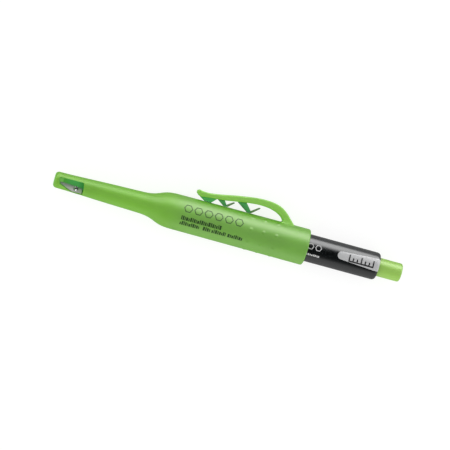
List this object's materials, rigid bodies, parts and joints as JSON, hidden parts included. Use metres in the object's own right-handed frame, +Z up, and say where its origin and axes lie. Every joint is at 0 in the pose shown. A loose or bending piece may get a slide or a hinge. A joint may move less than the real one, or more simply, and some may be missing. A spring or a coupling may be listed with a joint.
{
  "type": "lead holder",
  "caption": "Push-button clutch lead holder with a steel guide tube, stowed in a translucent holster cap with a pocket clip and a built-in lead sharpener.",
  "frame": {"origin": "centre of the push button's flat end face, on the pen's axis", "axes": "+X along the pen from the writing point towards the push button, +Y towards the pocket clip, +Z up, the side of the label and the sharpener window"},
  "size_m": [0.1687, 0.025, 0.0172],
  "materials": {
    "black_plastic": "satin black moulded plastic",
    "label_foil": "satin silver foil label",
    "polished_steel": "polished steel",
    "black_rubber": "soft black rubber",
    "brass": "turned brass",
    "spring_steel": "drawn spring wire",
    "white_plastic": "natural white moulded plastic",
    "lime_plastic": "semi-gloss light lime plastic",
    "lead_core": "baked graphite, smooth with a dull sheen",
    "green_plastic": "translucent lime green plastic, satin",
    "clip_green_plastic": "saturated green plastic, satin",
    "dark_green_plastic": "deep green moulded plastic",
    "blade_steel": "ground blade steel",
    "screw_steel": "bright plated steel"
  },
  "bodies": {
    "pen": {"barrel": "black_plastic", "label_plate": "label_foil", "rear_bush": "black_plastic", "guide_tube": "polished_steel", "lead_retainer": "black_rubber", "tube_collar": "brass", "return_spring": "spring_steel"},
    "plunger": {"lead_tube": "white_plastic", "chuck_sleeve": "brass", "spring_stop": "white_plastic"},
    "button": {"push_button": "lime_plastic"},
    "jaw_1": {"chuck_jaw_1": "brass"},
    "jaw_2": {"chuck_jaw_2": "brass"},
    "jaw_3": {"chuck_jaw_3": "brass"},
    "ring": {"clutch_ring": "brass"},
    "lead_stick": {"lead": "lead_core"},
    "holster": {"holster_body": "green_plastic", "sharpener_body": "dark_green_plastic", "sharpener_blade": "blade_steel", "blade_screw": "screw_steel"},
    "clip": {"pocket_clip": "clip_green_plastic"}
  },
  "joints": [
    {"name": "button_press", "type": "slide", "parent": "pen", "child": "plunger", "axis": [-1, 0, 0], "range_m": [0, 0.0035], "deforming": ["return_spring"]},
    {"name": "button_pull", "type": "slide", "parent": "plunger", "child": "button", "axis": [1, 0, 0], "range_m": [0, 0.016]},
    {"name": "jaw_1_open", "type": "hinge", "parent": "plunger", "child": "jaw_1", "pos_m": [-0.12925, 0, 0.0017], "axis": [0, 1, 0], "range_deg": [0, 1.6]},
    {"name": "jaw_2_open", "type": "hinge", "parent": "plunger", "child": "jaw_2", "pos_m": [-0.12925, -0.00147, -0.00085], "axis": [0, -0.5, 0.866], "range_deg": [0, 1.6]},
    {"name": "jaw_3_open", "type": "hinge", "parent": "plunger", "child": "jaw_3", "pos_m": [-0.12925, 0.00147, -0.00085], "axis": [0, -0.5, -0.866], "range_deg": [0, 1.6]},
    {"name": "ring_follow", "type": "slide", "parent": "pen", "child": "ring", "axis": [-1, 0, 0], "range_m": [0, 0.0018]},
    {"name": "lead_feed", "type": "slide", "parent": "pen", "child": "lead_stick", "axis": [-1, 0, 0], "range_m": [-0.006, 0.001]},
    {"name": "holster_draw", "type": "slide", "parent": "pen", "child": "holster", "axis": [-1, 0, 0], "range_m": [0, 0.12]},
    {"name": "clip_flex", "type": "hinge", "parent": "holster", "child": "clip", "pos_m": [-0.05545, 0.0088, 0], "axis": [0, 0, -1], "range_deg": [0, 6]}
  ],
  "couplings": [
    {"joint": "jaw_1_open", "follows": "button_press", "rad_per_m": 7.48},
    {"joint": "jaw_2_open", "follows": "button_press", "rad_per_m": 7.48},
    {"joint": "jaw_3_open", "follows": "button_press", "rad_per_m": 7.48},
    {"joint": "ring_follow", "follows": "button_press", "ratio": 0.5}
  ]
}
